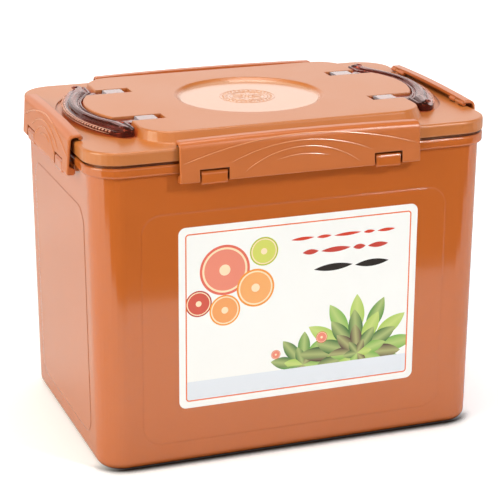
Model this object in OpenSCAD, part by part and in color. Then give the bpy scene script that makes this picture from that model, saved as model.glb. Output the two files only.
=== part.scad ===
// Large kimchi container: a draughted tub with a rim collar, a lid with four snap latches and
// two folding handles, and a press lid with an air vent that rides inside the tub.
// Millimetres. X runs to the right, Y to the back, Z up; the origin is the centre of the underside.

/* [Tub] */
// Length over the rim collar
rim_l = 340; // [300:1:380]
// Depth over the rim collar
rim_w = 236; // [220:1:270]
// Corner radius of the rim collar
rim_r = 28; // [22:0.5:36]
// Height of the walls up to the rim collar
wall_h = 247; // [180:1:300]
// Wall thickness
wall_t = 3; // [2.4:0.1:3.6]
// Floor thickness
floor_t = 3.5; // [2.5:0.1:5]
// Draught of the walls, in degrees
draught = 0.575; // [0.3:0.025:0.9]
// Radius of the edge between walls and underside
foot_r = 8; // [6:0.5:11]
// Depth of the hollow in the underside
foot_hollow = 1.2; // [0.6:0.1:2]
// Overhang of the rim collar
collar_out = 3.6; // [3:0.1:4.5]
// Depth of the groove in the collar's top
collar_groove = 1.8; // [0.5:0.1:2.5]
// Height of the rim collar
collar_h = 7.7; // [6:0.1:10]
// Height of the raised panels, measured down from the collar
panel_drop = 33.5; // [26:0.5:45]
// How far a raised panel stops short of the collar's corners
panel_side = 40; // [34:1:60]
// How far the raised panels stand proud
panel_t = 0.3; // [0.2:0.05:0.8]

/* [Label] */
// Label length
label_l = 205; // [120:1:220]
// Label height
label_h = 153; // [80:1:165]
// Height of the label's middle above the underside
label_mid = 125; // [110:1:130]
// Sideways place of the label's middle
label_x = 2.5; // [-6:0.5:6]
// Label thickness
label_t = 0.2; // [0.1:0.05:0.4]

/* [Lid] */
// Dark gap between collar and skirt
skirt_gap = 2.4; // [1.5:0.1:3.5]
// Height of the lid's skirt
skirt_h = 10.1; // [9:0.1:12]
// Thickness of the skirt
skirt_t = 2.4; // [2:0.1:2.6]
// Thickness of the lid's plate
plate_t = 2.8; // [2.2:0.1:3.2]
// Height of the raised middle over the flange
rise_h = 8; // [7.2:0.1:9.5]
// How far the raised middle stops short of the rim at each end
rise_end = 52; // [49:0.5:56]
// How far the raised middle's top stops short of the rim at front and back
rise_side = 20; // [19:0.5:23]
// Corner radius of the raised middle
rise_r = 24; // [16:1:32]
// Radius of the round hollow in the lid
dish_r = 62; // [50:0.5:66]
// Depth of the round hollow
dish_h = 3; // [1.5:0.1:3.6]
// Height of the silicone ring
gasket_h = 2.4; // [1.8:0.1:2.8]

/* [Latches] */
// Length of the front and back latches
latch_long = 202; // [190:1:210]
// Length of the side latches
latch_side = 144; // [138:1:156]
// Wall thickness of a latch
latch_t = 2.2; // [1.8:0.1:2.6]
// How far a latch's lower edge stands out from the rim
latch_out = 7; // [6.2:0.1:8]
// Height of a latch's lower edge below the collar
latch_drop = 6.8; // [6.2:0.1:8]
// Crown of a latch's top edge at its middle
latch_arch = 1.5; // [0.5:0.1:1.7]
// Width of a window in a latch
window_w = 24.2; // [20:0.1:28]
// Distance between window middles, front and back latches
window_span = 146.4; // [130:0.2:154]
// Distance between window middles, side latches
window_side = 90; // [80:1:96]
// Radius of the hinge barrels
barrel_r = 1.8; // [1.7:0.05:2]
// Radius of the hinge pins
pin_r = 0.9; // [0.8:0.05:1]
// Distance of the hinge axis inside the rim
hinge_in = 5; // [4:0.1:6]

/* [Handles] */
// Distance of a handle's axis from the rim at its end
handle_in = 73; // [70:0.5:76]
// Distance between the middles of a handle's arms
arm_span = 94; // [86:1:98]
// Width of a handle's arm
arm_w = 13.4; // [11:0.1:16]
// Distance of a handle's grip from the rim at its end
grip_edge = 13.5; // [11.5:0.5:16]
// Width of the grip at its middle
grip_w = 15; // [12:0.5:15.5]
// Distance between the two ends of a grip
grip_span = 152; // [140:1:160]
// Thickness of a handle's arms
arm_t = 5.2; // [4.6:0.1:5.4]
// Length of a handle's thick end, from its axis outwards
arm_pad = 15; // [12:0.5:20]
// How far the rest of the arm lies lower
arm_dip = 1.6; // [1:0.1:2.2]
// Radius of a handle's pins
trunnion_r = 1.5; // [1.2:0.05:1.6]

/* [Press lid] */
// Height of the press lid
press_h = 22; // [18:0.5:30]
// Wall thickness of the press lid
press_t = 2.4; // [2:0.1:3]
// Radius of the vent's bore
vent_r = 5; // [4:0.1:7]
// Length of the folding handle in the press lid
bail_l = 96; // [80:1:120]
// Depth of the folding handle in the press lid
bail_w = 40; // [36:1:56]

/* [Clearances] */
// Gap between parts that slide past each other
slip = 0.3; // [0.2:0.05:0.5]
// Radial gap between a pin and its bore
pin_fit = 0.06; // [0.02:0.01:0.1]
// Gap between faces that rest on each other
seat = 0.1; // [0.05:0.01:0.2]

/* [Hidden] */

clay = "#C8682E";
smoke = "#7A3A34";
silicone = "#E9DDD0";
white = "#F4F4F2";
over = 1;
corner_n = 9;

// Levels that the sizes above give
collar_top = wall_h + collar_h;
skirt_z = collar_top + skirt_gap;
flange_z = skirt_z + skirt_h;
plate_z = flange_z - plate_t;
rim_top = plate_z - gasket_h - seat;
rise_z = flange_z + rise_h;
rise_l = rim_l - 2 * rise_end;
rise_w = rim_w - 2 * rise_side;
dish_z = rise_z - dish_h;

// Points of an arc, and of a rectangle with round corners
function arc(cx, cy, r, a0, a1, n) =
    [for (i = [0:n]) let (a = a0 + (a1 - a0) * i / n) [cx + r * cos(a), cy + r * sin(a)]];
function rounded(l, w, r) = let (x = l / 2 - r, y = w / 2 - r)
    concat(arc(x, y, r, 0, 90, corner_n), arc(-x, y, r, 90, 180, corner_n),
           arc(-x, -y, r, 180, 270, corner_n), arc(x, -y, r, 270, 360, corner_n));
function at_z(points, z) = [for (p = points) [p[0], p[1], z]];

// A closed solid through rings of points that run anticlockwise seen from the last ring. The end rings
// are convex, or folded: the first half of a folded ring runs beside its second half, point by point
module loft(rings, folded = false) {
    n = len(rings[0]);
    m = len(rings);
    cap = folded ? [for (i = [0:n / 2 - 2]) [i, i + 1, n - 2 - i, n - 1 - i]] : [[for (i = [0:n - 1]) i]];
    back = [for (face = cap) [for (i = [len(face) - 1:-1:0]) (m - 1) * n + face[i]]];
    sides = [for (j = [0:m - 2], i = [0:n - 1], k = [0, 1])
        let (a = j * n + i, b = j * n + (i + 1) % n) k == 0 ? [a, a + n, b + n] : [a, b + n, b]];
    polyhedron([for (ring = rings, p = ring) p], concat(cap, sides, back));
}

// The rim's outline moved in by a distance, and the outer wall's outline at a height
function rim_ring(inset, z) =
    at_z(rounded(rim_l - 2 * inset, rim_w - 2 * inset, max(rim_r - inset, 2)), z);
function wall_in(z) = collar_out + max(0, wall_h - z) * tan(draught);
function wall_ring(z, inset) = rim_ring(wall_in(z) + inset, z);

// A band with the rim's outline between two insets and two heights
module rim_band(inset_out, inset_in, z0, z1) {
    translate([0, 0, z0]) linear_extrude(z1 - z0) difference() {
        polygon(rounded(rim_l - 2 * inset_out, rim_w - 2 * inset_out, rim_r - inset_out));
        polygon(rounded(rim_l - 2 * inset_in, rim_w - 2 * inset_in, rim_r - inset_in));
    }
}

// Places children on a side: X along it, -Y outwards from the rim's edge; 0 is the front
module side(i) {
    rotate([0, 0, 90 * i]) translate([0, -(i % 2 == 0 ? rim_w : rim_l) / 2, 0]) children();
}
function side_length(i) = i % 2 == 0 ? rim_l : rim_w;
function latch_length(i) = i % 2 == 0 ? latch_long : latch_side;
function window_gap(i) = i % 2 == 0 ? window_span : window_side;

// Places children on a side's sloping wall: X along it, Y up it from the collar, Z outwards
module on_wall(i) {
    side(i) translate([0, collar_out, wall_h]) rotate([90 + draught, 0, 0]) children();
}

// Extrudes an outline, drawn with outwards to the left, along a side
module along(length) {
    rotate([90, 0, 90]) linear_extrude(length, center = true) children();
}

// Tub
window_top = wall_h + 3.2;
lug_w = window_w - 2.6;
lug_top = window_top - 1.7;
lug_bottom = wall_h - latch_drop - 1.8;
lug_out = latch_out - 0.2;
lug_round = 2.4;
lug_edge = 1.4;

module lug() {
    x = lug_w / 2 - lug_edge;
    y = -lug_out + lug_edge;
    intersection() {
        along(lug_w) polygon(concat(
            [[collar_out + over, lug_bottom], [0.6 - lug_out, lug_bottom], [-lug_out, lug_bottom + 0.6]],
            arc(lug_round - lug_out, lug_top - lug_round, lug_round, 180, 90, 6), [[collar_out + over, lug_top]]));
        translate([0, 0, lug_bottom - over]) linear_extrude(lug_top - lug_bottom + 2 * over)
            polygon(concat([[lug_w / 2, collar_out + 2 * over], [-lug_w / 2, collar_out + 2 * over]],
                           arc(-x, y, lug_edge, 180, 270, 4), arc(x, y, lug_edge, 270, 360, 4)));
    }
}

module panel(i) {
    l = side_length(i) - 2 * panel_side;
    h = wall_h - panel_drop - 2 * foot_r - 4;
    on_wall(i) translate([0, -panel_drop - h / 2, -over])
        linear_extrude(over + panel_t) polygon(rounded(l, h, 16));
}

module tub() {
    edge = 0.8;
    low = 1;
    high = 1.5;
    foot = [for (a = [0:15:90]) wall_ring(foot_r * (1 - cos(a)), foot_r * (1 - sin(a)))];
    inner_r = foot_r - wall_t + 1;
    cavity_foot = [for (a = [0:15:90])
        wall_ring(floor_t + inner_r * (1 - cos(a)), wall_t + inner_r * (1 - sin(a)))];
    color(clay) difference() {
        union() {
            loft(concat(foot, [rim_ring(collar_out, wall_h)],
                [for (a = [90:-30:0]) rim_ring(low * (1 - cos(a)), wall_h + low * (1 - sin(a)))],
                [for (a = [0:30:90]) rim_ring(high * (1 - cos(a)), collar_top - high * (1 - sin(a)))],
                [rim_ring(high + edge, collar_top), rim_ring(collar_out, collar_top - collar_groove),
                rim_ring(collar_out, rim_top - edge), rim_ring(collar_out + edge, rim_top)]));
            for (i = [0:3]) {
                panel(i);
                for (s = [-1, 1]) side(i) translate([s * window_gap(i) / 2, 0, 0]) lug();
            }
        }
        loft(concat(cavity_foot, [rim_ring(collar_out + wall_t, wall_h), rim_ring(collar_out + wall_t, rim_top + over)]));
        loft([wall_ring(-over, foot_r + 8), wall_ring(0, foot_r + 7), wall_ring(foot_hollow, foot_r + 10)]);
    }
}

module label() {
    color(white) on_wall(0) translate([label_x, label_mid - wall_h, panel_t + 0.05])
        linear_extrude(label_t) polygon(rounded(label_l, label_h, 6));
}

// Lid
rim_out_in = collar_out;
rim_in_in = collar_out + wall_t;
inner_skirt_in = rim_in_in + slip + 0.5;
inner_skirt_t = 2;
slope = 6;
side_slope = 2.5;
handle_span = rim_l - 2 * handle_in;
grip_reach = rim_l / 2 - grip_edge;
slot_w = arm_w + 1.4;
slot_end = handle_span / 2 - 7;
pocket_t = 2.2;
axis_z = rise_z - arm_t / 2 - 0.2;
tongue_r = 82;
tongue_x = grip_reach - grip_w - 1 - tongue_r;
tongue_w = arm_span - slot_w;
hinge_z = flange_z + slip + barrel_r;
ear_w = 6;
ear_r = barrel_r - 0.2;
ear_inset = 12;

// The raised middle's outline: 0 at the foot of its slopes, 1 at their top
function rise_ring(k, inset, z) = at_z(rounded(rise_l + 2 * side_slope * (1 - k) - 2 * inset,
    rise_w + 2 * slope * (1 - k) - 2 * inset, rise_r + 3 * (1 - k) - inset), z);

module rise() {
    top = rise_z;
    loft([rise_ring(-0.1, 0, flange_z - 0.5), rise_ring(-0.1, 0, flange_z), rise_ring(0.04, 0, flange_z + 0.4),
          rise_ring(0.14, 0, flange_z + 1.3), rise_ring(0.86, 0, top - 1.6), rise_ring(0.96, 0, top - 0.7),
          rise_ring(1.12, 0, top - 0.15), rise_ring(1.3, 0, top)]);
}

module tongue(r, w, h) {
    round_h = 0.8;
    for (s = [-1, 1], k = [0, 1]) translate([0, 0, k * (h - round_h)])
        linear_extrude(k == 0 ? h - round_h : round_h, scale = k == 0 ? 1 : [1 - round_h / rim_l * 2, 1]) intersection() {
            polygon([for (p = arc(tongue_x, 0, r, -70, 70, 36)) [s * p[0], p[1]]]);
            translate([s * rim_l / 4, 0]) square([rim_l / 2, w], center = true);
        }
}

function grip_out(y) = let (r = 140) grip_reach - r + sqrt(r * r - y * y);
function grip_in(y) = let (r = tongue_r + 1)
    max(tongue_x + sqrt(max(0, r * r - y * y)), rise_l / 2 + side_slope + 1);

module scoop() {
    ys = [for (k = [-12:12]) (grip_span / 2 + 3) * sin(k * 90 / 12)];
    for (s = [-1, 1]) translate([0, 0, flange_z - 1.2]) linear_extrude(over + 1.2)
        polygon(concat([for (y = ys) [s * (grip_out(y * 0.96) + 5 - 9 * pow(y / grip_span * 2, 8)), y]],
                       [for (k = [12:-1:-12]) [s * (rise_l / 2 + side_slope), ys[k + 12] * 0.96]]));
}

module ear() {
    rotate([90, 0, 90]) linear_extrude(ear_w, center = true) union() {
        translate([hinge_in, hinge_z]) circle(ear_r, $fn = 48);
        translate([hinge_in - 1.3, flange_z - over]) square([2.6, hinge_z - flange_z + over]);
    }
}

module slots(l, grow, z0, z1) {
    for (s = [-1, 1], t = [-1, 1])
        translate([s > 0 ? slot_end - grow : -l / 2, t * arm_span / 2 - slot_w / 2 - grow, z0])
            cube([l / 2 - slot_end + grow, slot_w + 2 * grow, z1 - z0]);
}

module lid_outer() {
    edge = 2;
    loft(concat([rim_ring(0, skirt_z)],
        [for (a = [0:22.5:90]) rim_ring(edge * (1 - cos(a)), flange_z - edge + edge * sin(a))]));
    rise();
    translate([0, 0, flange_z - 0.5]) tongue(tongue_r, tongue_w, rise_h + 0.5);
}

module lid_hollow() {
    t = plate_t;
    difference() {
        union() {
            loft([rise_ring(0.1, t, plate_z - over), rise_ring(0.1, t, plate_z), rise_ring(1, t, rise_z - t)]);
            translate([0, 0, plate_z - over]) tongue(tongue_r - t, tongue_w - 2 * pocket_t, rise_h + over);
        }
        slots(rim_l, pocket_t, plate_z - 2 * over, rise_z);
        translate([0, 0, dish_z - t]) cylinder(h = rise_h, r = dish_r + t, $fn = 96);
    }
}

// The round hollow, with round edges at its top and bottom
module dish() {
    rotate_extrude($fn = 96) polygon([[0, dish_z], [dish_r - 4.6, dish_z], [dish_r - 3.8, dish_z + 0.3],
        [dish_r - 3.3, dish_z + 0.9], [dish_r - 1, rise_z - 0.9], [dish_r - 0.3, rise_z - 0.3],
        [dish_r + 0.9, rise_z + 0.02], [0, rise_z + 0.02]]);
}

module lid() {
    channel_in = inner_skirt_in;
    color(clay) difference() {
        union() {
            difference() {
                lid_outer();
                rim_band(skirt_t, channel_in, skirt_z - over, plate_z);
                translate([0, 0, skirt_z - over]) linear_extrude(plate_z - skirt_z + over)
                    polygon(rounded(rim_l - 2 * (channel_in + inner_skirt_t), rim_w - 2 * (channel_in + inner_skirt_t),
                                    rim_r - channel_in - inner_skirt_t));
                lid_hollow();
            }
            rim_band(channel_in, channel_in + inner_skirt_t, skirt_z - 2, plate_z + 0.5);
            for (i = [0:3], s = [-1, 1]) side(i) translate([s * (latch_length(i) / 2 - ear_inset), 0, 0]) ear();
        }
        dish();
        slots(2 * grip_in((arm_span - slot_w) / 2) + 8, 0, flange_z, rise_z + over);
        scoop();
        for (s = [-1, 1], t = [-1, 1])
            translate([s * handle_span / 2, t * arm_span / 2, axis_z]) rotate([90, 0, 0])
                cylinder(h = slot_w + 2 * pocket_t + 0.2, r = trunnion_r + pin_fit, center = true, $fn = 48);
        for (i = [0:3], s = [-1, 1]) side(i)
            translate([s * (latch_length(i) / 2 - ear_inset), hinge_in, hinge_z]) rotate([0, 90, 0])
                cylinder(h = ear_w + 0.2, r = pin_r + pin_fit, center = true, $fn = 48);
    }
}

module lid_gasket() {
    color(silicone) difference() {
        rim_band(skirt_t + slip, inner_skirt_in - slip, plate_z - gasket_h, plate_z);
        rim_band(rim_out_in + 0.9, rim_in_in - 0.9, plate_z - gasket_h - over, plate_z - gasket_h + 0.6);
    }
}

// Latches: the shell's section in distance outwards from the rim and height. Its outer and inner lines
// have as many points, which lie side by side. The outer line moves in where the latch's ends are rounded
latch_bottom = wall_h - latch_drop;
catch_gap = 0.3;
latch_top = hinge_z + barrel_r + 0.95;
nose_r = 5.3;

latch_edge = 1.2;

function section_out(inset) = let (r = nose_r - inset, top = latch_top - inset, u = latch_out - inset)
    concat([[-hinge_in - 0.3, top]], arc(0, top - r, r, 90, 6, 8),
           [[u - 1, wall_h + 8], [u, latch_bottom + 2.6]],
           arc(u - 0.9, latch_bottom + 0.9, 0.9, 0, -90, 3));
function section_in() = let (r = nose_r - latch_t, top = latch_top - latch_t, u = latch_out - latch_t)
    concat([[catch_gap + 0.9, latch_bottom], [catch_gap, latch_bottom + 1.2], [catch_gap, latch_bottom + 4.6],
            [u - 1, latch_bottom + 6.2], [u, latch_bottom + 7.2], [u - 0.75, wall_h + 8]],
           arc(0, top - r, r, 6, 90, 8), [[-hinge_in - 0.3, top]]);

// Raises the upper part of the section towards the latch's middle
function crown(p, t) = let (z0 = wall_h + 8, k = max(0, min(1, (p[1] - z0) / (latch_top - z0))))
    p[1] + latch_arch * t * k * k;

function latch_ring(half, x, inset) =
    [for (p = concat(section_out(inset), section_in())) [x, -p[0], crown(p, 1 - pow(x / half, 2))]];

module latch_shell(length) {
    half = length / 2;
    flat = half - latch_edge;
    loft(concat([for (a = [-90:30:-30]) latch_ring(half, -flat + latch_edge * sin(a), latch_edge * (1 - cos(a)))],
                [for (k = [-6:6]) latch_ring(half, flat * k / 6, 0)],
                [for (a = [30:30:90]) latch_ring(half, flat + latch_edge * sin(a), latch_edge * (1 - cos(a)))]),
         folded = true);
}

module latch(i) {
    length = latch_length(i);
    ear_s = length / 2 - ear_inset;
    barrel_l = 2 * ear_inset + 1;
    color(clay) side(i) {
        difference() {
            union() {
                latch_shell(length);
                for (s = [-1, 1]) translate([s * (length / 2 - 0.5 - barrel_l / 2), hinge_in, hinge_z]) rotate([0, 90, 0])
                    cylinder(h = barrel_l, r = barrel_r, center = true, $fn = 48);
            }
            for (s = [-1, 1]) {
                translate([s * ear_s, hinge_in, hinge_z]) rotate([0, 90, 0])
                    cylinder(h = ear_w + 2 * slip, r = barrel_r + 0.05, center = true, $fn = 48);
                translate([s * window_gap(i) / 2 - window_w / 2, -latch_out - over, latch_bottom - over])
                    cube([window_w, latch_out + 2 * over, window_top - latch_bottom + over]);
            }
        }
        for (s = [-1, 1]) translate([s * ear_s, hinge_in, hinge_z]) rotate([0, 90, 0])
            cylinder(h = ear_w + 4, r = pin_r, center = true, $fn = 48);
    }
}

module front_latch() { latch(0); }
module right_latch() { latch(1); }
module back_latch() { latch(2); }
module left_latch() { latch(3); }

// Handles: the grip's section at a place along it, as distance from the lid's middle and height
grip_z = flange_z + slip;
grip_top = axis_z + arm_t / 2;

// Each point is a share of the grip's width and a height over its top
grip_section = [[0.05, -20], [0, -19], [0, -1.6], [0.035, -0.8], [0.11, -0.6], [0.135, -1.7], [0.2, -1.9],
    [0.235, -0.6], [0.31, 0.2], [0.45, 0.6], [0.59, 0.2], [0.68, -0.8], [0.72, -2.7], [0.77, -3.2],
    [0.93, -3.5], [0.99, -4.2], [1, -19], [0.95, -20]];

function grip_ring(y) = let (end = grip_span / 2, e = 4, d = max(0, abs(y) - end + e) / e,
        shrink = 1 - sqrt(max(0, 1 - d * d)), mid = (grip_in(y) + grip_out(y)) / 2,
        half = (grip_out(y) - grip_in(y)) / 2 * (1 - 0.5 * shrink), top = grip_top - 1.6 * shrink)
    [for (p = grip_section) let (u = 2 * p[0] - 1) [mid + half * u, y,
        p[1] < -19.5 ? grip_z : p[1] < -18 ? grip_z + 0.7 : top + p[1] * (1 - shrink) - 1.2 * u * u * shrink]];

module arm() {
    x0 = handle_span / 2;
    x1 = grip_in((arm_span - arm_w) / 2) + 1.5;
    top = axis_z + arm_t / 2;
    rotate([90, 0, 0]) linear_extrude(arm_w, center = true) union() {
        translate([x0, axis_z]) circle(arm_t / 2, $fn = 48);
        polygon([[x0, top - arm_t], [x1, top - arm_t], [x1, top - arm_dip], [x0 + arm_pad + arm_dip, top - arm_dip],
                 [x0 + arm_pad, top], [x0, top]]);
    }
}

module handle() {
    steps = 18;
    ys = [for (k = [-steps:steps]) grip_span / 2 * sin(90 * k / steps)];
    loft([for (y = ys) grip_ring(y)]);
    for (t = [-1, 1]) translate([0, t * arm_span / 2, 0]) {
        arm();
        translate([handle_span / 2, 0, axis_z]) rotate([90, 0, 0])
            cylinder(h = slot_w + 2 * pocket_t - 0.6, r = trunnion_r, center = true, $fn = 48);
    }
}

module left_handle() { color(smoke) rotate([0, 0, 180]) handle(); }
module right_handle() { color(smoke) handle(); }

// Press lid: a tray that slides down the tub, with a ring of silicone round it
press_z = floor_t + seat;
press_in = wall_t + slip + 4.4;
groove_z = press_z + 10;
groove_h = 5;
groove_d = 1.6;
deck_z = press_z + press_t;
bail_t = 5;
bail_bar = 8;
bail_y = bail_w / 2;
bail_axis = deck_z + bail_t / 2 + 1.4;
bail_pin = 1.8;
vent_x = 96;
vent_boss = vent_r + 5;
vent_top = deck_z + 4;

function press_ring(z, inset) = let (d = wall_in(groove_z) + press_in + inset)
    at_z(rounded(rim_l - 2 * d, rim_w - 2 * d, rim_r - d > 4 ? rim_r - d : 4), z);

module bail_ears() {
    for (s = [-1, 1]) translate([s * (bail_l / 2 + slip + 2), bail_y, 0])
        rotate([90, 0, 90]) linear_extrude(4, center = true) union() {
            translate([0, bail_axis]) circle(bail_t / 2 + 0.8, $fn = 48);
            translate([-bail_t / 2 - 0.8, deck_z - 0.5]) square([bail_t + 1.6, bail_axis - deck_z + 0.5]);
        }
}

module inner_lid() {
    t = press_t;
    top = press_z + press_h;
    color(clay) difference() {
        union() {
            difference() {
                loft([press_ring(press_z, 6), press_ring(press_z + 1.5, 3.5), press_ring(press_z + 5, 1),
                      press_ring(groove_z - 2, 0), press_ring(groove_z, 0), press_ring(groove_z, groove_d),
                      press_ring(groove_z + groove_h, groove_d), press_ring(groove_z + groove_h, 0),
                      press_ring(top - 1, 0), press_ring(top, 0.8)]);
                loft([press_ring(deck_z, 7.5 + t), press_ring(deck_z + 4, 3.5 + t),
                      press_ring(groove_z - 2, groove_d + t), press_ring(top + over, groove_d + t)]);
            }
            bail_ears();
            translate([vent_x, 0, press_z + 0.5]) cylinder(h = vent_top - press_z - 0.5, r = vent_boss, $fn = 64);
            for (y = [-60, 60]) translate([0, y, deck_z - 0.5]) linear_extrude(2) polygon(rounded(rim_l - 130, 3, 1.4));
        }
        translate([vent_x, 0, press_z - over]) cylinder(h = press_h, r = vent_r, $fn = 64);
        for (s = [-1, 1]) translate([s * (bail_l / 2 + slip + 2), bail_y, bail_axis]) rotate([0, 90, 0])
            cylinder(h = 5, r = bail_pin + pin_fit, center = true, $fn = 48);
    }
}

module inner_seal() {
    z0 = groove_z + slip / 2;
    z1 = groove_z + groove_h - slip / 2;
    reach = slip + 4.4 - slip;
    color(silicone) difference() {
        loft([press_ring(z0, -2), press_ring(z0, -reach + 0.6), press_ring(z0 + 1, -reach),
              press_ring(z0 + 2.2, -reach), press_ring(z1, -2)]);
        loft([press_ring(z0 - over, groove_d - slip / 2), press_ring(z1 + over, groove_d - slip / 2)]);
    }
}

// A U-shaped outline, open to the back, with round front corners
function bail_outline(l, y0, y1, r) = concat([[l / 2, y1], [-l / 2, y1]],
    arc(-l / 2 + r, y0 + r, r, 180, 270, corner_n), arc(l / 2 - r, y0 + r, r, 270, 360, corner_n));

module inner_handle() {
    y0 = bail_y - bail_w;
    color(clay) {
        translate([0, 0, bail_axis - bail_t / 2]) linear_extrude(bail_t) difference() {
            polygon(bail_outline(bail_l, y0, bail_y, 12));
            polygon(bail_outline(bail_l - 2 * bail_bar, y0 + bail_bar, bail_y + over, 6));
        }
        for (s = [-1, 1]) translate([s * bail_l / 2, bail_y, bail_axis]) rotate([0, 90, 0]) {
            translate([0, 0, -s * bail_bar / 2]) cylinder(h = bail_bar, r = bail_t / 2, center = true, $fn = 48);
            translate([0, 0, s * 1.2]) cylinder(h = 6, r = bail_pin, center = true, $fn = 48);
        }
    }
}

module vent_plug() {
    color(silicone) translate([vent_x, 0, 0]) rotate_extrude($fn = 64) polygon([
        [0, press_z + 2.6], [vent_r - pin_fit - 0.8, press_z + 2.6], [vent_r - pin_fit, press_z + 3.4],
        [vent_r - pin_fit, vent_top + seat], [vent_boss - 1, vent_top + seat], [vent_boss - 0.5, vent_top + 0.8],
        [vent_boss - 1.2, vent_top + 2], [3.4, vent_top + 2.4], [2.6, vent_top + 3.4], [3.6, vent_top + 5.4],
        [3.2, vent_top + 6.4], [0, vent_top + 6.8]]);
}

tub();
label();
lid();
lid_gasket();
front_latch();
right_latch();
back_latch();
left_latch();
left_handle();
right_handle();
inner_lid();
inner_seal();
inner_handle();
vent_plug();
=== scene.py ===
# %% [markdown]
# # A kimchi container in Blender
#
# The real object is a deep tub of glossy clay-brown plastic with a thick collar round its mouth, a lid held
# by four snap latches, and two folding handles of smoky clear plastic. The CAD solids are loaded first as a
# fixed frame. Each of them then gets its finish, and the fine details that a mould leaves, such as raised
# lines, beads and a round ornament, are modelled on top of them.

# %% Load the frame
import math

import bpy
from mathutils import Matrix, Vector
from mathutils.bvhtree import BVHTree


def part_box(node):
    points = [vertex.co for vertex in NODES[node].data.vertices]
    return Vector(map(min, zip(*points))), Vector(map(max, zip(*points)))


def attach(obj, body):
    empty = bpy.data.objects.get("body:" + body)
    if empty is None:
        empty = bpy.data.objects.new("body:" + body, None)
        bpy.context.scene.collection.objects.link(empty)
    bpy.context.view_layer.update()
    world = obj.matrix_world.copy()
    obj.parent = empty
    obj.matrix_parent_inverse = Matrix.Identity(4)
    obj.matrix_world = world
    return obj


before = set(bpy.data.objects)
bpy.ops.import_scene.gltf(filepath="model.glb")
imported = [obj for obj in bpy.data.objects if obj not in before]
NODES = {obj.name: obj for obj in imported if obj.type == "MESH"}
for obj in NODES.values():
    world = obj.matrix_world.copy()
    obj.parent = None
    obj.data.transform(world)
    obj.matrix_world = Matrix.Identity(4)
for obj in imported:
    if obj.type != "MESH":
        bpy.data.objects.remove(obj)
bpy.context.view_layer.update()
MM = 0.001
ALL_DEPTHS = 1000  # as the scale along an axis, it makes a pattern the same at every place on that axis
RAY_START = 0.4  # metres, well outside the container
print("CAD nodes:", ", ".join(sorted(NODES)))

# %% [markdown]
# ## Camera
#
# The camera stands where the photograph's did. Its place and turn were worked out from the container's own
# right angles, so the container is drawn with the same perspective. A long lens far away keeps the upright
# edges nearly parallel.

# %% Camera
CAMERA_PLACE = Vector((-0.51820, -1.41112, 0.63555))
CAMERA_RIGHT = Vector((0.93870, -0.34472, 0.00301))
CAMERA_UP = Vector((0.10579, 0.29635, 0.94920))

camera_data = bpy.data.cameras.new("camera")
camera_data.sensor_width = 36
camera_data.lens = 132.34  # a focal length of 1838 pixels in a picture 500 pixels wide
camera = bpy.data.objects.new("camera", camera_data)
bpy.context.scene.collection.objects.link(camera)
camera.matrix_world = Matrix.Translation(CAMERA_PLACE) @ Matrix(
    (CAMERA_RIGHT, CAMERA_UP, CAMERA_RIGHT.cross(CAMERA_UP))).transposed().to_4x4()
bpy.context.scene.camera = camera
bpy.context.scene.view_settings.view_transform = "Standard"
print("camera at", tuple(round(c, 3) for c in CAMERA_PLACE))

# %% [markdown]
# ## A function for colours and a function for nodes
#
# Colours are written as hex values, the way a paint chart or a picture editor gives them, and turned to the
# linear values that the renderer counts with. Every shader node below is made by one small function that
# takes the node's settings and what is linked to its inputs.

# %% Colour and node helpers
def linear(colour):
    """Turns '#RRGGBB' into the renderer's linear colour."""
    parts = [int(colour[i:i + 2], 16) / 255 for i in (1, 3, 5)]
    return [c / 12.92 if c <= 0.04045 else ((c + 0.055) / 1.055) ** 2.4 for c in parts] + [1.0]


def add(tree, kind, settings=None, links=None):
    """Adds a node. A setting names a property or an input. A link gives an input the socket that feeds it."""
    node = tree.nodes.new(kind)
    for key, value in (settings or {}).items():
        if isinstance(key, str) and key in node.bl_rna.properties:
            setattr(node, key, value)
        else:
            node.inputs[key].default_value = value
    for key, socket in (links or {}).items():
        tree.links.new(socket, node.inputs[key])
    return node


def new_material(name):
    """An empty node material."""
    material = bpy.data.materials.new(name)
    material.use_nodes = True
    material.node_tree.nodes.clear()
    return material


def close(material, shader, volume=None):
    """Joins a shader to the material's output."""
    links = {"Surface": shader}
    if volume:
        links["Volume"] = volume
    add(material.node_tree, "ShaderNodeOutputMaterial", None, links)
    print("material", material.name)
    return material


# %% [markdown]
# ## Stage and light
#
# The container stands on a plain white floor in a white studio. The world lights it softly from all round.
# A small key lamp at the front right draws the sharp highlights, a large one on the left brightens the left
# side, and three more fill in from the front, from above and from behind.
#
# The floor glows a little for the camera, so that it stays white far from the lamps. Under the container's
# front edge a narrow strip has a painted shadow: where little of its sky is open, the paper's colour turns
# deep brown and the glow is taken away. The glossy front of such a tub mirrors the floor in front of it. In
# the photograph the white floor ends half a metre ahead, and a sharp line across the front shows where. A
# dark cloth, seen only in reflections, lies there, and a dark ceiling hangs above in the same way.

# %% Floor, dark cloth, world and lamps
WHITE = linear("#FFFFFF")
# The paper's second colour is a shadow painted on it under the container's front edge.
PAPER, PAINTED_SHADOW, BLACK_FELT = linear("#F3F4F6"), linear("#2A1810"), linear("#140E0A")
GLOW_NEAR, GLOW_FAR = (0.2, 0.32), (1.2, 0.6)  # distance from the floor's middle in metres, strength there
# Where the painted shadow lies on the floor:
SHADE_REACH, SHADE_FULL, SHADE_NONE = 0.015, 0.45, 0.8  # metres to what shades it, open share of its sky
SHADE_FRONT, SHADE_BACK = -0.108, -0.088  # the shade fades out from the first Y to the second, in metres
SHADE_RAYS = 8
CLOTH_START, CLOTH_END = -3.5, -0.47  # Y in metres
WORLD_LIGHT, WORLD_SEEN = 0.31, 1.0  # how bright the world is as a light, and where it is seen or mirrored


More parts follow.
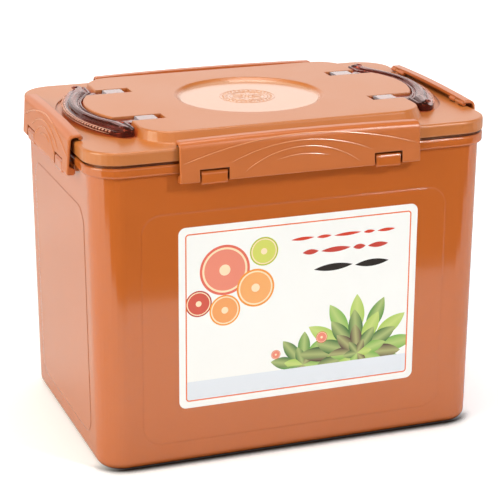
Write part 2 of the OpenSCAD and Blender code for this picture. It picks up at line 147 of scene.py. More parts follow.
def stage_sheet(name, corner, size, z):
    """A flat rectangle of the stage from its lowest corner."""
    bpy.ops.object.select_all(action="DESELECT")
    bpy.ops.mesh.primitive_plane_add(size=1, location=(corner[0] + size[0] / 2, corner[1] + size[1] / 2, z))
    sheet = bpy.context.object
    sheet.name = name
    sheet.scale = (size[0], size[1], 1)
    bpy.ops.object.transform_apply(location=True, rotation=True, scale=True)
    return sheet


floor_paper = new_material("white_studio_paper")
tree = floor_paper.node_tree
path = add(tree, "ShaderNodeLightPath")
seen = add(tree, "ShaderNodeMath", {"operation": "ADD", "use_clamp": True},
           {0: path.outputs["Is Camera Ray"], 1: path.outputs["Is Transmission Ray"]})
place = add(tree, "ShaderNodeTexCoord").outputs["Object"]
away = add(tree, "ShaderNodeVectorMath", {"operation": "LENGTH"}, {0: place})
far = add(tree, "ShaderNodeMapRange", {"From Min": GLOW_NEAR[0], "From Max": GLOW_FAR[0],
                                       "To Min": GLOW_NEAR[1], "To Max": GLOW_FAR[1]},
          {"Value": away.outputs["Value"]})
lift = add(tree, "ShaderNodeMath", {"operation": "MULTIPLY"}, {0: seen.outputs[0], 1: far.outputs[0]})
# Painted shadow: where little of the sky is open within a short reach, in front of the front edge, the
# paper's colour turns to the painted shadow colour and its glow is taken away.
sky_share = add(tree, "ShaderNodeAmbientOcclusion", {"samples": SHADE_RAYS, "Distance": SHADE_REACH})
out_of_painted_shade = add(tree, "ShaderNodeMapRange", {"From Min": SHADE_FULL, "From Max": SHADE_NONE},
           {"Value": sky_share.outputs["AO"]})
axes = add(tree, "ShaderNodeSeparateXYZ", None, {0: place})
behind = add(tree, "ShaderNodeMapRange", {"From Min": SHADE_FRONT, "From Max": SHADE_BACK},
             {"Value": axes.outputs["Y"]})
out_of_painted_shade = add(tree, "ShaderNodeMath", {"operation": "MAXIMUM"}, {0: out_of_painted_shade.outputs[0], 1: behind.outputs[0]})
lift = add(tree, "ShaderNodeMath", {"operation": "MULTIPLY"}, {0: lift.outputs[0], 1: out_of_painted_shade.outputs[0]})
tone = add(tree, "ShaderNodeMix", {"data_type": "RGBA", 6: PAINTED_SHADOW, 7: PAPER}, {0: out_of_painted_shade.outputs[0]})
paper = add(tree, "ShaderNodeBsdfDiffuse", None, {"Color": tone.outputs[2]})
glow = add(tree, "ShaderNodeEmission", {"Color": WHITE}, {"Strength": lift.outputs[0]})
both = add(tree, "ShaderNodeAddShader", None, {0: paper.outputs[0], 1: glow.outputs[0]})
close(floor_paper, both.outputs[0])
floor = stage_sheet("floor", (-5, -5), (10, 12), 0)
floor.data.materials.append(floor_paper)

cloth_black = new_material("black_felt")
close(cloth_black, add(cloth_black.node_tree, "ShaderNodeBsdfDiffuse", {"Color": BLACK_FELT}).outputs[0])
dark_cloth = stage_sheet("dark_cloth", (-1.2, CLOTH_START), (3.4, CLOTH_END - CLOTH_START), 1 * MM)
dark_cloth.data.materials.append(cloth_black)
ceiling = stage_sheet("dark_ceiling", (-4, -4), (8, 8), 2.6)
ceiling.data.materials.append(cloth_black)
for sheet in (dark_cloth, ceiling):
    sheet.visible_camera = False
    sheet.visible_diffuse = False
    sheet.visible_shadow = False
    sheet.visible_transmission = False

world = bpy.data.worlds.new("studio")
bpy.context.scene.world = world
world.use_nodes = True
tree = world.node_tree
tree.nodes.clear()
path = add(tree, "ShaderNodeLightPath")
sharp = add(tree, "ShaderNodeMath", {"operation": "ADD", "use_clamp": True},
            {0: path.outputs["Is Glossy Ray"], 1: path.outputs["Is Transmission Ray"]})
white_rays = add(tree, "ShaderNodeMath", {"operation": "ADD", "use_clamp": True},
                 {0: path.outputs["Is Camera Ray"], 1: sharp.outputs[0]})
strength = add(tree, "ShaderNodeMapRange", {"To Min": WORLD_LIGHT, "To Max": WORLD_SEEN},
               {"Value": white_rays.outputs[0]})
sky = add(tree, "ShaderNodeBackground", {"Color": WHITE}, {"Strength": strength.outputs[0]})
add(tree, "ShaderNodeOutputWorld", None, {"Surface": sky.outputs[0]})


# Name, place, target, width and height in metres, power in watts, colour
LAMPS = (("key_softbox", (0.95, -1.4, 1.35), (0, -0.1, 0.15), (0.3, 0.3), 16, "#FFFFFF"),
         ("fill_softbox", (-0.5, -1.6, 1.8), (0, -0.1, 0.15), (1.2, 1.2), 4, "#FFFFFF"),
         ("overhead_softbox", (0.05, 0.3, 1.9), (0, 0, 0.2), (0.9, 0.9), 15, "#FFF7EE"),
         ("back_softbox", (0.83, 2.25, 0.87), (0, 0, 0.275), (1.6, 0.56), 1.3, "#FFF7EE"),
         ("left_softbox", (-1.8, -0.35, 1.05), (0, 0, 0.15), (1.2, 1.2), 28, "#FFFDE4"))


def softbox(name, place, target, size, power, colour):
    """An area lamp that points at a target."""
    lamp_data = bpy.data.lights.new(name, "AREA")
    lamp_data.shape = "RECTANGLE"
    lamp_data.size, lamp_data.size_y = size
    lamp_data.energy = power
    lamp_data.color = linear(colour)[:3]
    lamp = bpy.data.objects.new(name, lamp_data)
    bpy.context.scene.collection.objects.link(lamp)
    lamp.location = place
    lamp.rotation_euler = (Vector(target) - Vector(place)).to_track_quat("-Z", "Y").to_euler()
    lamp.visible_camera = False


for lamp in LAMPS:
    softbox(*lamp)
print("stage and light are ready")

# %% [markdown]
# ## Plastics
#
# The tub, lid and latches are injection-moulded polypropylene, tinted through. The tub's mould was
# polished, so it mirrors its surroundings. The lid and the latches come from a lightly etched mould: a fine
# grain spreads the reflection into a pale sheen when it is seen at a flat angle. Only the round hollow in
# the lid was polished again. The narrow gaps between lid, tub and latches look almost black on the real
# container, so shade is painted into the plastic's colour: it is darker where surfaces face each other
# closely.

# %% Moulded polypropylene
FLOW_PER_METRE = 14.0  # the plastic's flow leaves clouds some 70 mm wide
FLOW_TONE, FLOW_GLOSS = 0.035, 0.15  # how far the clouds change colour and roughness, as a share
GRAIN_HEIGHT = 0.1 * MM
SHADING_RAYS = 6  # for rounded edges and gaps
# Shade painted into narrow gaps: how far across a gap to look, and the open shares where it is full and where
# it ends.
GAP_REACH, GAP_SHUT, GAP_OPEN = 7 * MM, 0.1, 0.45  # distance across a gap, open share of the surroundings


def polypropylene(name, colour, roughness, grain_mm, grain_depth, ior, edge_mm=0.0, polished=None,
                  painted_gap_tone=0.1):
    """Tinted polypropylene: slight flow variation in colour and gloss, the grain of the mould, and shade
    painted into narrow gaps.

    The etched grain is really about a tenth of a millimetre wide. It is drawn coarser, so that it shows. On
    the polished tub it stands for the slight waves of a moulded wall. Edges are shaded as if they were
    rounded to a radius, which a mould always leaves. A polished disc is given as its radius in millimetres,
    its roughness and its paler colour. The gap tone is how bright the colour stays where shade is painted
    into a narrow gap."""
    material = new_material(name)
    tree = material.node_tree
    place = add(tree, "ShaderNodeTexCoord").outputs["Object"]
    flow = add(tree, "ShaderNodeTexNoise", {"Scale": FLOW_PER_METRE, "Detail": 3.0, "Roughness": 0.55},
               {"Vector": place})
    shade = add(tree, "ShaderNodeMapRange", {"To Min": 1 - FLOW_TONE, "To Max": 1 + FLOW_TONE},
                {"Value": flow.outputs["Fac"]})
    # Painted shade: where the surroundings close in within a gap, the colour is darkened down to the gap
    # tone.
    gap = add(tree, "ShaderNodeAmbientOcclusion", {"samples": SHADING_RAYS, "Distance": GAP_REACH})
    out_of_painted_shade = add(tree, "ShaderNodeMapRange", {"From Min": GAP_SHUT, "From Max": GAP_OPEN, "To Min": painted_gap_tone},
               {"Value": gap.outputs["AO"]})
    shade = add(tree, "ShaderNodeMath", {"operation": "MULTIPLY"}, {0: shade.outputs[0], 1: out_of_painted_shade.outputs[0]})
    tint = add(tree, "ShaderNodeHueSaturation", {"Color": linear(colour)},
               {"Value": shade.outputs[0]}).outputs[0]
    gloss = add(tree, "ShaderNodeMapRange",
                {"To Min": roughness * (1 - FLOW_GLOSS), "To Max": roughness * (1 + FLOW_GLOSS)},
                {"Value": flow.outputs["Fac"]}).outputs[0]
    if polished:
        radius, smooth, pale = polished
        local = add(tree, "ShaderNodeMapping",
                    {"vector_type": "TEXTURE", "Scale": (radius * MM, radius * MM, ALL_DEPTHS)},
                    {"Vector": place})
        distance = add(tree, "ShaderNodeVectorMath", {"operation": "LENGTH"}, {0: local.outputs[0]})
        inside = add(tree, "ShaderNodeMapRange", {"From Min": 1.0, "From Max": 0.97},
                     {"Value": distance.outputs["Value"]})
        gloss = add(tree, "ShaderNodeMix", {3: smooth}, {0: inside.outputs[0], 2: gloss}).outputs[0]
        tint = add(tree, "ShaderNodeMix", {"data_type": "RGBA", 7: linear(pale)},
                   {0: inside.outputs[0], 6: tint}).outputs[2]
    grain = add(tree, "ShaderNodeTexNoise", {"Scale": 1 / (grain_mm * MM), "Detail": 2.0}, {"Vector": place})
    bump = add(tree, "ShaderNodeBump", {"Strength": grain_depth, "Distance": GRAIN_HEIGHT},
               {"Height": grain.outputs["Fac"]})
    if edge_mm:
        edges = add(tree, "ShaderNodeBevel", {"samples": SHADING_RAYS, "Radius": edge_mm * MM})
        tree.links.new(edges.outputs[0], bump.inputs["Normal"])
    skin = add(tree, "ShaderNodeBsdfPrincipled", {"IOR": ior},
               {"Base Color": tint, "Roughness": gloss, "Normal": bump.outputs[0]})
    return close(material, skin.outputs[0])


POLISHED_CLAY = "#D29C7C"
tub_plastic = polypropylene("polished_polypropylene", "#C0642A", roughness=0.10, grain_mm=3.0,
                            grain_depth=0.10, ior=1.7, edge_mm=2.0)
lid_plastic = polypropylene("satin_polypropylene", "#C27236", roughness=0.32, grain_mm=0.8, grain_depth=0.4,
                            ior=1.7, edge_mm=1.5, polished=(60, 0.12, POLISHED_CLAY), painted_gap_tone=0.5)
latch_plastic = polypropylene("etched_polypropylene", "#C46A30", roughness=0.30, grain_mm=0.8,
                              grain_depth=0.5, ior=1.6, edge_mm=1.2)
# The raised lines are paler than the latch: a painted highlight where their tops catch the light.
ridge_highlight_plastic = polypropylene("ridge_painted_highlight_polypropylene", "#D58A5A", roughness=0.22, grain_mm=0.8,
                              grain_depth=0.2, ior=1.6)
relief_plastic = polypropylene("polished_relief_polypropylene", POLISHED_CLAY, roughness=0.12, grain_mm=0.8,
                               grain_depth=0.4, ior=1.7)
press_plastic = polypropylene("pale_polypropylene", "#CC7D4E", roughness=0.35, grain_mm=0.8, grain_depth=0.4,
                              ior=1.55, edge_mm=1.2)

# %% [markdown]
# ## Clear handles and silicone
#
# The handles are moulded in clear polycarbonate with a smoky rose tint. Light passes through and bends, and
# the plastic takes up more of it the longer its way is, so thick parts and edges look dark red-brown. The
# flat arms mirror the white studio, which makes them pale. Lamp light goes straight through, so that what
# lies under a handle isn't in full shade. The seals are silicone rubber, which is matt and lets a little
# light in. The lid's own ring is given a near-black colour as painted shade, so that the gap it fills looks
# black.

# %% Smoky polycarbonate
POLYCARBONATE_IOR = 1.58
GRIP_START, ARM_END = 0.120, 0.116  # metres from the middle: the arms' clear gloss fades out between the two
ARM_COAT = 0.8
SWIRL_PER_METRE = 60.0  # faint swirls some 17 mm wide, as melted plastic leaves

handle_plastic = new_material("smoky_clear_polycarbonate")
tree = handle_plastic.node_tree
place = add(tree, "ShaderNodeTexCoord").outputs["Object"]
swirl = add(tree, "ShaderNodeTexNoise", {"Scale": SWIRL_PER_METRE, "Detail": 2.0}, {"Vector": place})
gloss = add(tree, "ShaderNodeMapRange", {"To Min": 0.02, "To Max": 0.06}, {"Value": swirl.outputs["Fac"]})
smoke = add(tree, "ShaderNodeMix", {"data_type": "RGBA", 6: linear("#E8AC98"), 7: linear("#DE9C88")},
            {0: swirl.outputs["Fac"]})
edges = add(tree, "ShaderNodeBevel", {"samples": SHADING_RAYS, "Radius": 0.8 * MM})
axes = add(tree, "ShaderNodeSeparateXYZ", None, {0: place})
outwards = add(tree, "ShaderNodeMath", {"operation": "ABSOLUTE"}, {0: axes.outputs["X"]})
on_arm = add(tree, "ShaderNodeMapRange", {"From Min": GRIP_START, "From Max": ARM_END, "To Max": ARM_COAT},
             {"Value": outwards.outputs[0]})
clear = add(tree, "ShaderNodeBsdfPrincipled",
            {"IOR": POLYCARBONATE_IOR, "Transmission Weight": 0.97, "Specular IOR Level": 0.45,
             "Specular Tint": linear("#FF6038"), "Coat IOR": 1.7, "Coat Roughness": 0.03},
            {"Base Color": smoke.outputs[2], "Roughness": gloss.outputs[0], "Normal": edges.outputs[0],
             "Coat Weight": on_arm.outputs[0]})
depth = add(tree, "ShaderNodeVolumeAbsorption", {"Color": linear("#C87460"), "Density": 165.0})
path = add(tree, "ShaderNodeLightPath")
passing = add(tree, "ShaderNodeBsdfTransparent", {"Color": linear("#FFE6DE")})
lit = add(tree, "ShaderNodeMixShader", None,
          {0: path.outputs["Is Shadow Ray"], 1: clear.outputs[0], 2: passing.outputs[0]})
close(handle_plastic, lit.outputs[0], depth.outputs[0])

# %% Frosted ridges
FROST_PER_METRE = 500.0  # 2 mm, drawn coarser than the fine pits of real frosting so that it shows

frosted_plastic = new_material("frosted_polycarbonate")
tree = frosted_plastic.node_tree
place = add(tree, "ShaderNodeTexCoord").outputs["Object"]
frost = add(tree, "ShaderNodeTexNoise", {"Scale": FROST_PER_METRE, "Detail": 2.0}, {"Vector": place})
haze = add(tree, "ShaderNodeMapRange", {"To Min": 0.2, "To Max": 0.35}, {"Value": frost.outputs["Fac"]})
pale = add(tree, "ShaderNodeMix", {"data_type": "RGBA", 6: linear("#F0B8A0"), 7: linear("#E8A890")},
           {0: frost.outputs["Fac"]})
frosted = add(tree, "ShaderNodeBsdfPrincipled", {"IOR": POLYCARBONATE_IOR, "Transmission Weight": 0.3},
              {"Base Color": pale.outputs[2], "Roughness": haze.outputs[0]})
close(frosted_plastic, frosted.outputs[0])

# %% Silicone
DUST_PER_METRE = 250.0  # specks some 4 mm apart, drawn coarser than real dust so that they show


def silicone_rubber(name, colour, second_colour):
    """Matt silicone rubber whose two colours mix in fine specks of dust."""
    material = new_material(name)
    tree = material.node_tree
    place = add(tree, "ShaderNodeTexCoord").outputs["Object"]
    dust = add(tree, "ShaderNodeTexNoise", {"Scale": DUST_PER_METRE, "Detail": 3.0}, {"Vector": place})
    tone = add(tree, "ShaderNodeMix", {"data_type": "RGBA", 6: linear(colour), 7: linear(second_colour)},
               {0: dust.outputs["Fac"]})
    rubbery = add(tree, "ShaderNodeBsdfPrincipled",
                  {"IOR": 1.41, "Roughness": 0.55, "Subsurface Weight": 0.15, "Subsurface Scale": 2 * MM},
                  {"Base Color": tone.outputs[2]})
    return close(material, rubbery.outputs[0])


silicone = silicone_rubber("matt_silicone", "#E6DACC", "#DCCFC0")
# The lid's ring is near-black: painted shade that stands for the dark gap that it fills.
painted_shade_silicone = silicone_rubber("painted_shade_silicone", "#1E120C", "#24160F")

# %% [markdown]
# ## Printed label
#
# A white plastic film is stuck on the front and printed with a plain design: an orange frame line, a pale
# band, three rows of brush strokes, ringed discs and two sprays of leaves. Each shape is a distance that
# grows from its middle to 1 at its edge, so its outline stays sharp at any size, and no picture is needed.

# %% Shapes of the print
LABEL_LOW, LABEL_HIGH = (Vector(corner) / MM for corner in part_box("label"))
LABEL_MIDDLE = (LABEL_LOW + LABEL_HIGH) / 2
label_film = new_material("printed_label_film")
tree = label_film.node_tree
label_place = add(tree, "ShaderNodeTexCoord").outputs["Object"]


def on_label(middle, half, turn=0.0):
    """The label's coordinates seen from a shape: 0 at its middle, 1 at its edge. Sizes are in millimetres."""
    x, z = LABEL_MIDDLE.x + middle[0], LABEL_MIDDLE.z + middle[1]
    local = add(tree, "ShaderNodeMapping",
                {"vector_type": "TEXTURE", "Location": (x * MM, 0, z * MM),
                 "Rotation": (0, -math.radians(turn), 0), "Scale": (half[0] * MM, ALL_DEPTHS, half[1] * MM)},
                {"Vector": label_place})
    return local.outputs[0]


def within(distance, limit=1.0):
    """1 where a distance is below the limit."""
    return add(tree, "ShaderNodeMath", {"operation": "LESS_THAN", 1: limit}, {0: distance}).outputs[0]


def paint(under, mask, colour):
    """Prints a colour, or what another socket gives, over what is under it."""
    settings, links = {"data_type": "RGBA"}, {0: mask}
    for slot, value in ((6, under), (7, colour)):
        if isinstance(value, str):
            settings[slot] = linear(value)
        else:
            links[slot] = value
    return add(tree, "ShaderNodeMix", settings, links).outputs[2]


def disc(under, middle, radius, rings):
    """A round spot. Its rings are pairs of the share of the radius where a ring starts and its colour."""
    distance = add(tree, "ShaderNodeVectorMath", {"operation": "LENGTH"},
                   {0: on_label(middle, (radius, radius))}).outputs["Value"]
    mask = within(distance)
    colour = rings[0][1]
    for share, ring_colour in rings[1:]:
        colour = paint(colour, within(distance, share), ring_colour)
    return paint(under, mask, colour)


def calculate(operation, *values):
    """One step of arithmetic: each value is a number or a socket."""
    settings = {i: value for i, value in enumerate(values) if isinstance(value, (int, float))}
    links = {i: value for i, value in enumerate(values) if not isinstance(value, (int, float))}
    return add(tree, "ShaderNodeMath", {"operation": operation, **settings}, links).outputs[0]


def stroke(under, middle, half, turn, colour):
    """A brush stroke with two pointed ends."""
    axes = add(tree, "ShaderNodeSeparateXYZ", None, {0: on_label(middle, half, turn)}).outputs
    distance = calculate("MULTIPLY_ADD", axes["X"], axes["X"], calculate("ABSOLUTE", axes["Z"]))
    return paint(under, within(distance), colour)


def leaf_ring(under, middle, number, reach, half_length, half_width, start):
    """Pointed leaves all round a middle, each in an equal share of the full turn."""
    axes = add(tree, "ShaderNodeSeparateXYZ", None, {0: on_label(middle, (1, 1))}).outputs
    radius = calculate("SQRT", calculate("ADD", calculate("MULTIPLY", axes["X"], axes["X"]),
                                         calculate("MULTIPLY", axes["Z"], axes["Z"])))
    turn = calculate("ARCTAN2", axes["Z"], axes["X"])
    share = calculate("MULTIPLY_ADD", turn, number / (2 * math.pi), start)
    index = calculate("FLOOR", share)
    across = calculate("ABSOLUTE", calculate("SUBTRACT", calculate("SUBTRACT", share, index), 0.5))
    side = calculate("MULTIPLY", calculate("MULTIPLY", across, radius), 2 * math.pi / number / half_width)
    out = calculate("DIVIDE", calculate("SUBTRACT", radius, reach), half_length)
    seed = calculate("ADD", index, start)
    chance = add(tree, "ShaderNodeTexWhiteNoise", {"noise_dimensions": "1D"}, {"W": seed})
    green = add(tree, "ShaderNodeValToRGB", None, {0: chance.outputs["Value"]})
    green.color_ramp.interpolation = "CONSTANT"
    while len(green.color_ramp.elements) < len(GREENS):
        green.color_ramp.elements.new(1.0)
    for k, colour in enumerate(GREENS):
        green.color_ramp.elements[k].position = k / len(GREENS)
        green.color_ramp.elements[k].color = linear(colour)
    rib = calculate("MULTIPLY", calculate("SUBTRACT", 1.0, side), RIB_STRENGTH)
    leaf = paint(green.outputs[0], rib, RIB_GREEN)
    return paint(under, within(calculate("MULTIPLY_ADD", out, out, side)), leaf)


RIB_STRENGTH, RIB_GREEN = 0.55, "#DCE394"
print("label is", [round(v, 1) for v in LABEL_HIGH - LABEL_LOW], "mm")

# %% Compose the print
FRAME_INSET, FRAME_LINE, FRAME_ROUND = 5.5, 1.1, 3.0
frame_half = (LABEL_HIGH - LABEL_LOW) / 2 - Vector((FRAME_INSET, 0, FRAME_INSET))
BAND_HEIGHT = 17
BAND_TOP = -frame_half.z + BAND_HEIGHT


def rounded_distance(half, radius):
    """Distance in metres outside a rectangle with round corners, below 0 inside it."""
    local = on_label((0, 0), (1 / MM, 1 / MM))
    size = add(tree, "ShaderNodeVectorMath", {"operation": "ABSOLUTE"}, {0: local})
    core = ((half.x - radius) * MM, 1, (half.z - radius) * MM)
    past = add(tree, "ShaderNodeVectorMath", {"operation": "SUBTRACT", 1: core}, {0: size.outputs[0]})
    corner = add(tree, "ShaderNodeVectorMath", {"operation": "MAXIMUM", 1: (0, 0, 0)}, {0: past.outputs[0]})
    length = add(tree, "ShaderNodeVectorMath", {"operation": "LENGTH"}, {0: corner.outputs[0]})
    axes = add(tree, "ShaderNodeSeparateXYZ", None, {0: past.outputs[0]}).outputs
    inner = calculate("MINIMUM", calculate("MAXIMUM", axes["X"], axes["Z"]), 0.0)
    return calculate("SUBTRACT", calculate("ADD", length.outputs["Value"], inner), radius * MM)


PAPER_WHITE, BAND_BLUE, FRAME_ORANGE, CREAM = "#F8F8F7", "#E4E9F2", "#E8743C", "#FBE3C0"
GREENS = ("#4C8A3C", "#24502B", "#78B04E", "#A9C95C", "#4A2530", "#356B36")
# A spray has a middle and rings of leaves: how many, their distance out, half length and half width, and
# the start
SPRAYS = (((52, -48), ((13, 35, 17, 6.5, 0.2), (11, 24, 15, 6.5, 0.6), (9, 14, 12, 5.5, 0.1),
                       (6, 5, 8, 4, 0.4))),
          ((4, -52), ((9, 17, 12, 5.5, 0.3), (6, 8, 9, 4.5, 0.7))))
ink = PAPER_WHITE
for middle, rings in reversed(SPRAYS):
    for number, reach, half_length, half_width, start in rings:
        ink = leaf_ring(ink, middle, number, reach, half_length, half_width, start)

# Middle, radius, colour of the rim and of the inside
DISCS = (((-64, 38), 21, "#E8705C", "#EE8E78"), ((-86, 12), 11, "#B8342C", "#D65A4A"),
         ((-31, 50), 12, "#B9C23A", "#D5D96A"), ((-38, 20), 16, "#F39A3D", "#F7AE6B"),
         ((-64, 4), 13, "#F39A3D", "#F4A463"), ((20, -30), 5, "#D8452F", "#EC8A76"),
         ((-20, -40), 4, "#D8452F", "#EC8A76"))
for middle, radius, outer, inner in DISCS:
    ink = disc(ink, middle, radius, ((1.0, outer), (0.9, CREAM), (0.82, inner), (0.22, CREAM)))

# Left end, height, half width of a stroke, the strokes' lengths and their colour
STROKE_ROWS = ((-8, 57, 1.4, (20, 13, 24, 10, 16), "#D8452F"), (2, 45, 2.2, (14, 26, 11, 18), "#C9463A"),
               (12, 30, 3.0, (34, 30), "#2A2320"))
STROKE_GAP, STROKE_TILT = 2, 2
for x, z, half_width, lengths, colour in STROKE_ROWS:
    for length in lengths:
        ink = stroke(ink, (x + length / 2, z), (length / 2, half_width), STROKE_TILT, colour)
        x += length + STROKE_GAP

band_axes = add(tree, "ShaderNodeSeparateXYZ", None, {0: on_label((0, BAND_TOP), (1, 1))})
ink = paint(ink, within(band_axes.outputs["Z"], 0.0), BAND_BLUE)
edge = rounded_distance(frame_half, FRAME_ROUND)
ink = paint(FRAME_ORANGE, within(edge, -FRAME_LINE * MM), ink)
ink = paint(PAPER_WHITE, within(edge, 0.0), ink)

film = add(tree, "ShaderNodeBsdfPrincipled", {"Roughness": 0.25, "IOR": 1.5}, {"Base Color": ink})
close(label_film, film.outputs[0])
print("print has", len(tree.nodes), "nodes")

# %% Give the CAD nodes their finishes
LATCHES = ("front_latch", "right_latch", "back_latch", "left_latch")
HANDLES = ("left_handle", "right_handle")
FINISHES = {
    tub_plastic: ("tub",),
    lid_plastic: ("lid",),
    latch_plastic: LATCHES,
    handle_plastic: HANDLES,
    press_plastic: ("inner_lid", "inner_handle"),
    painted_shade_silicone: ("lid_gasket",),
    silicone: ("inner_seal", "vent_plug"),
    label_film: ("label",),
}
for material, names in FINISHES.items():
    for name in names:
        NODES[name].data.materials.clear()
        NODES[name].data.materials.append(material)
print("finishes given to", sum(len(n) for n in FINISHES.values()), "nodes")

# %% [markdown]
# ## Raised lines on the latches
#
# Each latch carries four thin raised arcs, one above the other, like the ridges that a turning tool leaves
# in clay. On the real part they are cut into the mould. Here each arc is a curve with a round profile. Its
# points are found by shooting rays at the latch from outside, so that the curve follows the bent wall and
# lies half sunk in it.

# %% Ray helpers
SMOOTH_ANGLE = math.radians(50)


def surface_of(node):
    """A search tree over a CAD node's surface."""
    return BVHTree.FromObject(NODES[node], bpy.context.evaluated_depsgraph_get())


def hit(surface, start, direction):
    """The point and normal where a ray meets a surface, in metres."""
    point, normal, _, _ = surface.ray_cast(Vector(start), Vector(direction).normalized())
    return point, normal


def tube(name, points, radius, closed=False, taper=3):
    """A round line through points, thinner towards its open ends, as a mesh."""
    curve = bpy.data.curves.new(name, "CURVE")
    curve.dimensions = "3D"
    curve.bevel_depth = radius
    curve.bevel_resolution = 1
    curve.use_fill_caps = not closed
    spline = curve.splines.new("POLY")
    spline.points.add(len(points) - 1)
    spline.use_cyclic_u = closed
    for k, point in enumerate(points):
        spline.points[k].co = (*point, 1)
        if not closed:
            spline.points[k].radius = min(1.0, (min(k, len(points) - 1 - k) + 0.5) / taper)
    line = bpy.data.objects.new(name, curve)
    bpy.context.scene.collection.objects.link(line)
    bpy.ops.object.select_all(action="DESELECT")
    line.select_set(True)
    bpy.context.view_layer.objects.active = line
    bpy.ops.object.convert(target="MESH")
    return bpy.context.object


def join(name, parts, material, body):
    """Joins pieces into one that has a material and rides on a body."""
    bpy.ops.object.select_all(action="DESELECT")
    for part in parts:
        part.select_set(True)
    bpy.context.view_layer.objects.active = parts[0]
    if len(parts) > 1:
        bpy.ops.object.join()
    whole = bpy.context.object
    whole.name = name
    whole.data.materials.clear()
    whole.data.materials.append(material)
    bpy.ops.object.shade_smooth_by_angle(angle=SMOOTH_ANGLE)
    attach(whole, body)
    return whole


# %% Arcs on the latches
LATCH_HALF = 101  # mm, half a long latch, for which the arcs are given; a short one squeezes them
ARC_LINE, ARC_LIFT = 0.45 * MM, 0.1 * MM
ARC_STEP = 3
ARCS = ((271.4, 311, 99), (266.3, 145, 60), (261.3, 81, 49), (255.2, 85, 22))  # top's height, radius, reach


def latch_arcs(latch, outward):
    """Raised arcs on one latch. The reach of an arc is how far it runs to either side."""
    surface = surface_of(latch)
    low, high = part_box(latch)
    outward = Vector(outward)
    along = outward.cross(Vector((0, 0, 1)))
    size = high - low
    share = max(size.x, size.y) / 2 / (LATCH_HALF * MM)
    lines = []
    for k, (top, radius, reach) in enumerate(ARCS):
        points = []
        steps = max(8, reach // ARC_STEP)
        for step in range(-steps, steps + 1):
            side = reach * step / steps
            height = top - radius + math.sqrt(radius * radius - side * side)
            start = along * side * share * MM + Vector((0, 0, height * MM)) + outward * RAY_START
            point, normal = hit(surface, start, -outward)
            if point:
                points.append(point + normal * ARC_LIFT)
        lines.append(tube(f"{latch}_arc_{k}", points, ARC_LINE))
    arcs = join(f"{latch}_arcs", lines, ridge_highlight_plastic, latch)
    print(arcs.name, len(arcs.data.polygons), "faces")


for latch, outward in zip(LATCHES, ((0, -1, 0), (1, 0, 0), (0, 1, 0), (-1, 0, 0))):
    latch_arcs(latch, outward)

# %% [markdown]
# ## Round ornament in the hollow
#
# The middle of the hollow bears a plain round ornament in low relief: a ring, a circle of beads, a wavy
# ring and a smaller plain one lie round a rosette of eight petals. It is made of thin round lines and
# flattened balls that stand half out of the floor.

# %% Rosette
ROSETTE_MIDDLE = Vector((0, 4, 0)) * MM
lid_surface = surface_of("lid")
floor_point, _ = hit(lid_surface, ROSETTE_MIDDLE + Vector((0, 0, RAY_START)), (0, 0, -1))
RINGS = ((23, 0, 0), (17.5, 0.6, 24), (14.6, 0, 0))  # radius, swing in and out, number of swings
RING_POINTS, RING_LINE = 72, 0.35 * MM
PEARL_CIRCLE, PEARL_COUNT, PEARL_RADIUS = 20.3, 32, 1.0 * MM
PETAL_COUNT, PETAL_POINTS, PETAL_LINE = 8, 16, 0.3 * MM
PETAL_MIDDLE, PETAL_HALF, PETAL_WIDTH, PETAL_TAPER = 8.5, 4.5, 2.2, 0.35  # mm, and how pointed it is
EYE_RADIUS = 2.4 * MM


def bead(name, middle, radius, flatness, segments=12):
    """A small ball pressed flat."""
    bpy.ops.object.select_all(action="DESELECT")
    bpy.ops.mesh.primitive_uv_sphere_add(segments=segments, ring_count=segments // 2, radius=radius,
                                         location=middle)
    ball = bpy.context.object
    ball.name = name
    ball.scale = flatness
    bpy.ops.object.transform_apply(location=True, rotation=True, scale=True)
    return ball


def ring_points(radius, number, wave=0.0, waves=0):
    """Points round the rosette's middle at a radius in millimetres that may swing in and out."""
    turns = [2 * math.pi * k / number for k in range(number)]
    return [floor_point + Vector((math.cos(t), math.sin(t), 0)) * (radius + wave * math.cos(waves * t)) * MM
            for t in turns]


def petal_points(turn):
    """A pointed loop from near the middle outwards."""
    points = []
    for k in range(PETAL_POINTS):
        t = 2 * math.pi * k / PETAL_POINTS
        along = PETAL_MIDDLE - PETAL_HALF * math.cos(t)
        across = PETAL_WIDTH * math.sin(t) * (1 - PETAL_TAPER * math.cos(t))
        points.append(floor_point + Matrix.Rotation(turn, 3, "Z") @ Vector((along, across, 0)) * MM)
    return points


rosette = [tube("ring", ring_points(radius, RING_POINTS, wave, waves), RING_LINE, closed=True)
           for radius, wave, waves in RINGS]
rosette += [bead("bead", point, PEARL_RADIUS, (1, 1, 0.5), 8)
            for point in ring_points(PEARL_CIRCLE, PEARL_COUNT)]
rosette += [tube("petal", petal_points(2 * math.pi * k / PETAL_COUNT), PETAL_LINE, closed=True)
            for k in range(PETAL_COUNT)]
rosette.append(bead("eye", floor_point, EYE_RADIUS, (1, 1, 0.25)))
rosette = join("lid_rosette", rosette, relief_plastic, "lid")
print("rosette has", len(rosette.data.polygons), "faces")

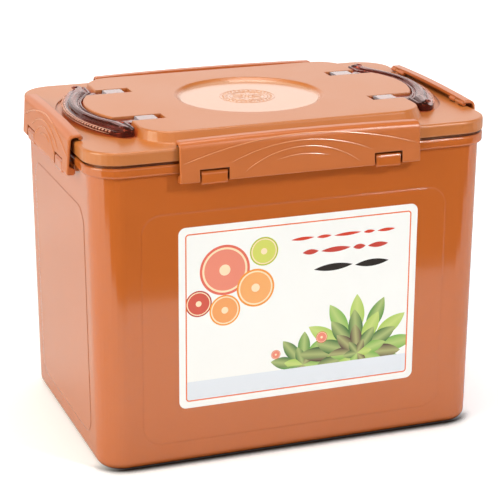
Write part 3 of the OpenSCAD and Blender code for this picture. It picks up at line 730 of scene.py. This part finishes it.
# %% [markdown]
# ## Fine detail on the handles
#
# A row of fine beads between two thin ridges runs along the lower outer edge of each grip, which keeps wet
# fingers from slipping, and a round button sits at both ends of the grip. A bead is a small ball pressed
# flat and half sunk in the edge. Rays find the places: one from outside meets the wall, and one from above,
# a little further in, meets the step.

# %% Beads, ridges and buttons
# Millimetres. Beads run along an arc of the grip's radius, this many to either side of its middle
GRIP_RADIUS, BEAD_STEP, BEAD_COUNT, BEAD_RADIUS = 140, 4.0, 17, 1.1
WALL_BELOW_TOP, EDGE_INSET, STEP_INSET = 6, 0.4, 2.0
RIDGE_OUT, RIDGE_DROP, RIDGE_RADIUS = 0.4, 1.8, 0.4
BUTTON_X, BUTTON_Y, BUTTON_RADIUS = 131.0, 71.5, 3.0


def grip_detail(handle, side):
    """Beads, ridges and end buttons of one handle. The side is -1 on the left and 1 on the right."""
    surface = surface_of(handle)
    _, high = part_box(handle)
    beads, upper, lower = [], [], []
    for k in range(-BEAD_COUNT, BEAD_COUNT + 1):
        along = GRIP_RADIUS * math.sin(k * BEAD_STEP / GRIP_RADIUS) * MM
        start = Vector((side * RAY_START, along, high.z - WALL_BELOW_TOP * MM))
        wall, _ = hit(surface, start, (-side, 0, 0))
        if wall:
            edge, _ = hit(surface, wall + Vector((-side * EDGE_INSET * MM, 0, RAY_START)), (0, 0, -1))
            step, _ = hit(surface, wall + Vector((-side * STEP_INSET * MM, 0, RAY_START)), (0, 0, -1))
            beads.append(bead("bead", edge, BEAD_RADIUS * MM, (1, 0.9, 0.8), 10))
            upper.append(step)
            lower.append(edge + Vector((side * RIDGE_OUT, 0, -RIDGE_DROP)) * MM)
    ridges = [tube("ridge", line, RIDGE_RADIUS * MM) for line in (upper, lower)]
    detail = join(f"{handle}_beads", beads + ridges, frosted_plastic, handle)
    buttons = []
    for end in (-1, 1):
        top, _ = hit(surface, (side * BUTTON_X * MM, end * BUTTON_Y * MM, RAY_START), (0, 0, -1))
        buttons.append(bead("button", top, BUTTON_RADIUS * MM, (1, 1, 0.45), 24))
    join(f"{handle}_buttons", buttons, handle_plastic, handle)
    print(detail.name, len(beads), "beads")


grip_detail("left_handle", -1)
grip_detail("right_handle", 1)
